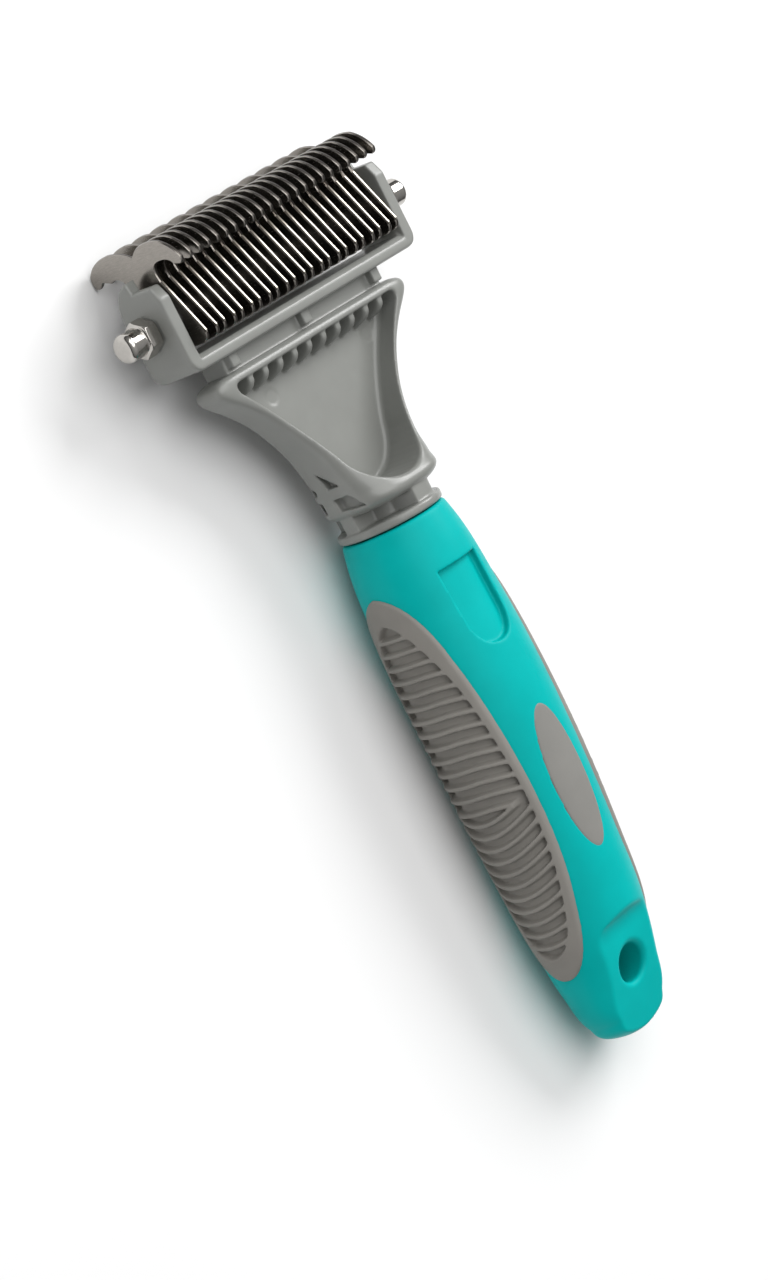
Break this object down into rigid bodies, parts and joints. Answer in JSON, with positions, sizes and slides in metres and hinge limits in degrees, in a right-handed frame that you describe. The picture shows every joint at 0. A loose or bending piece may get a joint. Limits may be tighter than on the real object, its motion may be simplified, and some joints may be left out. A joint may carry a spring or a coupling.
{
  "type": "dematting comb",
  "caption": "Hand comb for matted pet coats: hooked steel blades on a bolt in a plastic cradle, fan-shaped head, oval handle with rubber side grips and a hanging hole.",
  "frame": {"origin": "middle of the comb's outline, on the plane it lies on with its back down", "axes": "+X along the blade bolt, +Y along the handle towards the blades, +Z out of the front of the comb"},
  "size_m": [0.0874, 0.1898, 0.0273],
  "materials": {
    "blade_steel": "stamped stainless steel, satin faces with bright ground edges",
    "polished_steel": "polished plated steel",
    "zinc_steel": "plain zinc-plated steel",
    "grey_plastic": "moulded grey plastic, fine satin texture",
    "teal_plastic": "moulded teal plastic, soft satin",
    "grey_rubber": "soft-touch ribbed rubber, matte",
    "label_plastic": "smooth matte inlay with no lettering"
  },
  "bodies": {
    "handle_and_head": {"head_frame": "grey_plastic", "handle_shell": "teal_plastic", "grip_left": "grey_rubber", "grip_right": "grey_rubber", "label_inlay": "label_plastic"},
    "blade_pack": {"blade_bolt": "zinc_steel", "coarse_blade_01": "blade_steel", "coarse_blade_03": "blade_steel", "coarse_blade_05": "blade_steel", "coarse_blade_07": "blade_steel", "coarse_blade_09": "blade_steel", "coarse_blade_11": "blade_steel", "coarse_blade_13": "blade_steel", "coarse_blade_15": "blade_steel", "coarse_blade_17": "blade_steel", "coarse_blade_19": "blade_steel", "coarse_blade_21": "blade_steel", "coarse_blade_23": "blade_steel", "fine_blade_02": "blade_steel", "fine_blade_04": "blade_steel", "fine_blade_06": "blade_steel", "fine_blade_08": "blade_steel", "fine_blade_10": "blade_steel", "fine_blade_12": "blade_steel", "fine_blade_14": "blade_steel", "fine_blade_16": "blade_steel", "fine_blade_18": "blade_steel", "fine_blade_20": "blade_steel", "fine_blade_22": "blade_steel", "spacer_01": "zinc_steel", "spacer_02": "zinc_steel", "spacer_03": "zinc_steel", "spacer_04": "zinc_steel", "spacer_05": "zinc_steel", "spacer_06": "zinc_steel", "spacer_07": "zinc_steel", "spacer_08": "zinc_steel", "spacer_09": "zinc_steel", "spacer_10": "zinc_steel", "spacer_11": "zinc_steel", "spacer_12": "zinc_steel", "spacer_13": "zinc_steel", "spacer_14": "zinc_steel", "spacer_15": "zinc_steel", "spacer_16": "zinc_steel", "spacer_17": "zinc_steel", "spacer_18": "zinc_steel", "spacer_19": "zinc_steel", "spacer_20": "zinc_steel", "spacer_21": "zinc_steel", "spacer_22": "zinc_steel", "end_spacer_left": "zinc_steel", "end_spacer_right": "zinc_steel"},
    "nut_left": {"cap_nut_left": "polished_steel"},
    "nut_right": {"cap_nut_right": "polished_steel"}
  },
  "joints": [
    {"name": "blade_pack_rock", "type": "hinge", "parent": "handle_and_head", "child": "blade_pack", "pos_m": [0, 0.07785, 0.01364], "axis": [1, 0, 0], "range_deg": [-10, 10]},
    {"name": "nut_left_turn", "type": "hinge", "parent": "blade_pack", "child": "nut_left", "pos_m": [-0.0395, 0.07785, 0.01364], "axis": [-1, 0, 0], "continuous": true},
    {"name": "nut_right_turn", "type": "hinge", "parent": "blade_pack", "child": "nut_right", "pos_m": [0.0395, 0.07785, 0.01364], "axis": [1, 0, 0], "continuous": true}
  ]
}
